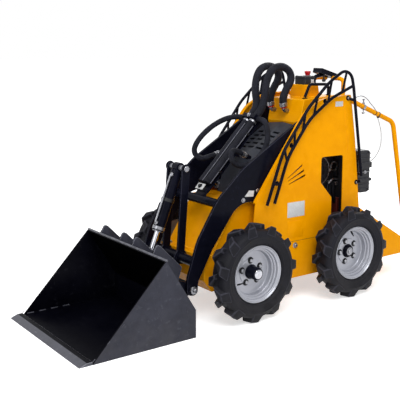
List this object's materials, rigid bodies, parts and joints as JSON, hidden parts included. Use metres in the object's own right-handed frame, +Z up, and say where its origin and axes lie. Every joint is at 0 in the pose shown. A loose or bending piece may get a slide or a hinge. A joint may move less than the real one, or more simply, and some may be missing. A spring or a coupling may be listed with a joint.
{
  "type": "mini loader",
  "caption": "Small stand-on wheeled loader: wide flat-bottomed bucket on low-slung lift arms, yellow body, lugged tyres, arm guards and a rear operator step.",
  "frame": {"origin": "on the ground, below the middle of the machine's overall length and width", "axes": "+X towards the bucket, +Y to the machine's left, +Z up; arms down and bucket flat on the ground"},
  "size_m": [2.207, 0.808, 1.2118],
  "materials": {
    "yellow_paint": "gloss",
    "black_paint": "gloss",
    "charcoal_paint": "satin",
    "rim_paint": "satin",
    "grille_paint": "satin",
    "worn_steel": "worn",
    "zinc": "satin",
    "rod_chrome": "polished",
    "tyre_rubber": "matte",
    "hose_sleeve": "matte",
    "engine_black": "satin",
    "red_plastic": "gloss",
    "black_plastic": "matte",
    "grey_plastic": "matte"
  },
  "bodies": {
    "chassis": {"chassis_frame": "yellow_paint", "front_nose": "yellow_paint", "side_panel_left": "yellow_paint", "side_panel_right": "yellow_paint", "console_tower": "yellow_paint", "grille": "grille_paint", "engine": "engine_black", "muffler": "black_paint", "arm_guard_left": "black_paint", "arm_guard_right": "black_paint", "operator_rail_left": "yellow_paint", "operator_rail_right": "yellow_paint", "rear_step": "yellow_paint", "control_box": "black_plastic", "battery_switch": "red_plastic", "lever_guard": "black_paint", "grab_handle": "black_paint", "drive_motors": "black_paint", "chassis_pins": "zinc", "hose_fittings": "zinc", "hose_loop_left": "hose_sleeve", "hose_loop_right": "hose_sleeve", "throttle_cable": "grey_plastic"},
    "lift_arm": {"arm_left": "black_paint", "arm_right": "black_paint", "arm_cross_tubes": "black_paint", "tilt_bars": "black_paint", "arm_pins": "zinc", "hose_carrier": "black_paint", "hose_bundles": "hose_sleeve", "side_hose_left": "hose_sleeve", "side_hose_right": "hose_sleeve"},
    "bucket": {"hitch_plate": "black_paint", "bucket_shell": "charcoal_paint", "cutting_edge": "worn_steel"},
    "lift_barrels": {"lift_barrels": "black_paint"},
    "lift_rods": {"lift_rods": "rod_chrome"},
    "tilt_barrel": {"tilt_barrel": "black_paint"},
    "tilt_rod": {"tilt_rod": "rod_chrome"},
    "wheel_front_left": {"tyre_front_left": "tyre_rubber", "rim_front_left": "rim_paint", "hub_front_left": "black_paint"},
    "wheel_front_right": {"tyre_front_right": "tyre_rubber", "rim_front_right": "rim_paint", "hub_front_right": "black_paint"},
    "wheel_rear_left": {"tyre_rear_left": "tyre_rubber", "rim_rear_left": "rim_paint", "hub_rear_left": "zinc"},
    "wheel_rear_right": {"tyre_rear_right": "tyre_rubber", "rim_rear_right": "rim_paint", "hub_rear_right": "zinc"}
  },
  "joints": [
    {"name": "lift", "type": "hinge", "parent": "chassis", "child": "lift_arm", "pos_m": [-0.3835, 0, 0.955], "axis": [0, -1, 0], "range_deg": [0, 88], "deforming": ["hose_loop_left", "hose_loop_right"]},
    {"name": "tilt", "type": "hinge", "parent": "lift_arm", "child": "bucket", "pos_m": [0.4415, 0, 0.168], "axis": [0, -1, 0], "range_deg": [-65, 30]},
    {"name": "lift_barrel_swing", "type": "hinge", "parent": "chassis", "child": "lift_barrels", "pos_m": [-0.5735, 0, 0.2], "axis": [0, -1, 0], "range_deg": [0, 32]},
    {"name": "lift_rod_slide", "type": "slide", "parent": "lift_barrels", "child": "lift_rods", "axis": [0.8442, 0, 0.536], "range_m": [0, 0.62]},
    {"name": "tilt_barrel_swing", "type": "hinge", "parent": "lift_arm", "child": "tilt_barrel", "pos_m": [0.3745, 0, 0.716], "axis": [0, -1, 0], "range_deg": [-3, 6]},
    {"name": "tilt_rod_slide", "type": "slide", "parent": "tilt_barrel", "child": "tilt_rod", "axis": [0.3722, 0, -0.9282], "range_m": [-0.075, 0.16]},
    {"name": "wheel_front_left_spin", "type": "hinge", "parent": "chassis", "child": "wheel_front_left", "pos_m": [0.18, 0.348, 0.237], "axis": [0, 1, 0], "continuous": true},
    {"name": "wheel_front_right_spin", "type": "hinge", "parent": "chassis", "child": "wheel_front_right", "pos_m": [0.18, -0.348, 0.237], "axis": [0, 1, 0], "continuous": true},
    {"name": "wheel_rear_left_spin", "type": "hinge", "parent": "chassis", "child": "wheel_rear_left", "pos_m": [-0.467, 0.348, 0.237], "axis": [0, 1, 0], "continuous": true},
    {"name": "wheel_rear_right_spin", "type": "hinge", "parent": "chassis", "child": "wheel_rear_right", "pos_m": [-0.467, -0.348, 0.237], "axis": [0, 1, 0], "continuous": true}
  ],
  "couplings": [
    {"joint": "lift_barrel_swing", "follows": "lift", "ratio": 0.36},
    {"joint": "lift_rod_slide", "follows": "lift", "m_per_rad": 0.4},
    {"joint": "tilt_barrel_swing", "follows": "tilt", "ratio": -0.08},
    {"joint": "tilt_rod_slide", "follows": "tilt", "m_per_rad": -0.14}
  ]
}
